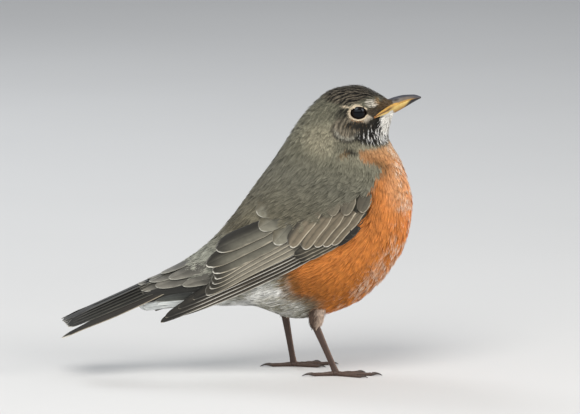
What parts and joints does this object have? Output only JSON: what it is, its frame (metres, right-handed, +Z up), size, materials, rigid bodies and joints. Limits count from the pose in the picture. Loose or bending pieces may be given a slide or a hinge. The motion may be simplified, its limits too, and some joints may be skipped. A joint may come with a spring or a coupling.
{
  "type": "american robin",
  "caption": "Life-size American robin standing alert with its bill level, wings folded and tail closed, divided into named body parts.",
  "frame": {"origin": "on the floor, at the middle of the model's footprint from bill tip to tail tip", "axes": "+X towards the bill, +Y towards the bird's left side, +Z up"},
  "size_m": [0.2038, 0.0678, 0.1626],
  "materials": {
    "crown_plumage": "soft matte feathers, blackish grey brown with white eye arcs",
    "neck_plumage": "soft matte feathers, olive grey",
    "breast_plumage": "soft matte feathers, rust orange with pale fringes, white at the vent, grey brown above",
    "tail_feathers": "blackish brown vanes with a faint gloss",
    "wing_coverts": "grey brown vanes with pale edges",
    "flight_feathers": "dark grey brown vanes with pale outer edges",
    "thigh_plumage": "soft matte feathers, buff",
    "eye": "wet gloss, near black brown",
    "upper_bill": "satin horn, yellow darkening to slate on the ridge and tip",
    "lower_bill": "satin horn, yellow with a dark tip",
    "leg": "scaled dark brown skin, satin",
    "claw": "polished black brown horn"
  },
  "bodies": {
    "root": {"head": "crown_plumage", "neck": "neck_plumage", "trunk": "breast_plumage", "tail": "tail_feathers", "bill_upper": "upper_bill", "bill_lower": "lower_bill", "eye_right": "eye", "wing_coverts_right": "wing_coverts", "wing_secondaries_right": "flight_feathers", "wing_primaries_right": "flight_feathers", "thigh_right": "thigh_plumage", "tarsus_right": "leg", "toe_middle_right": "leg", "claw_middle_right": "claw", "toe_inner_right": "leg", "claw_inner_right": "claw", "toe_outer_right": "leg", "claw_outer_right": "claw", "toe_hind_right": "leg", "claw_hind_right": "claw", "eye_left": "eye", "wing_coverts_left": "wing_coverts", "wing_secondaries_left": "flight_feathers", "wing_primaries_left": "flight_feathers", "thigh_left": "thigh_plumage", "tarsus_left": "leg", "toe_middle_left": "leg", "claw_middle_left": "claw", "toe_inner_left": "leg", "claw_inner_left": "claw", "toe_outer_left": "leg", "claw_outer_left": "claw", "toe_hind_left": "leg", "claw_hind_left": "claw"}
  },
  "joints": []
}
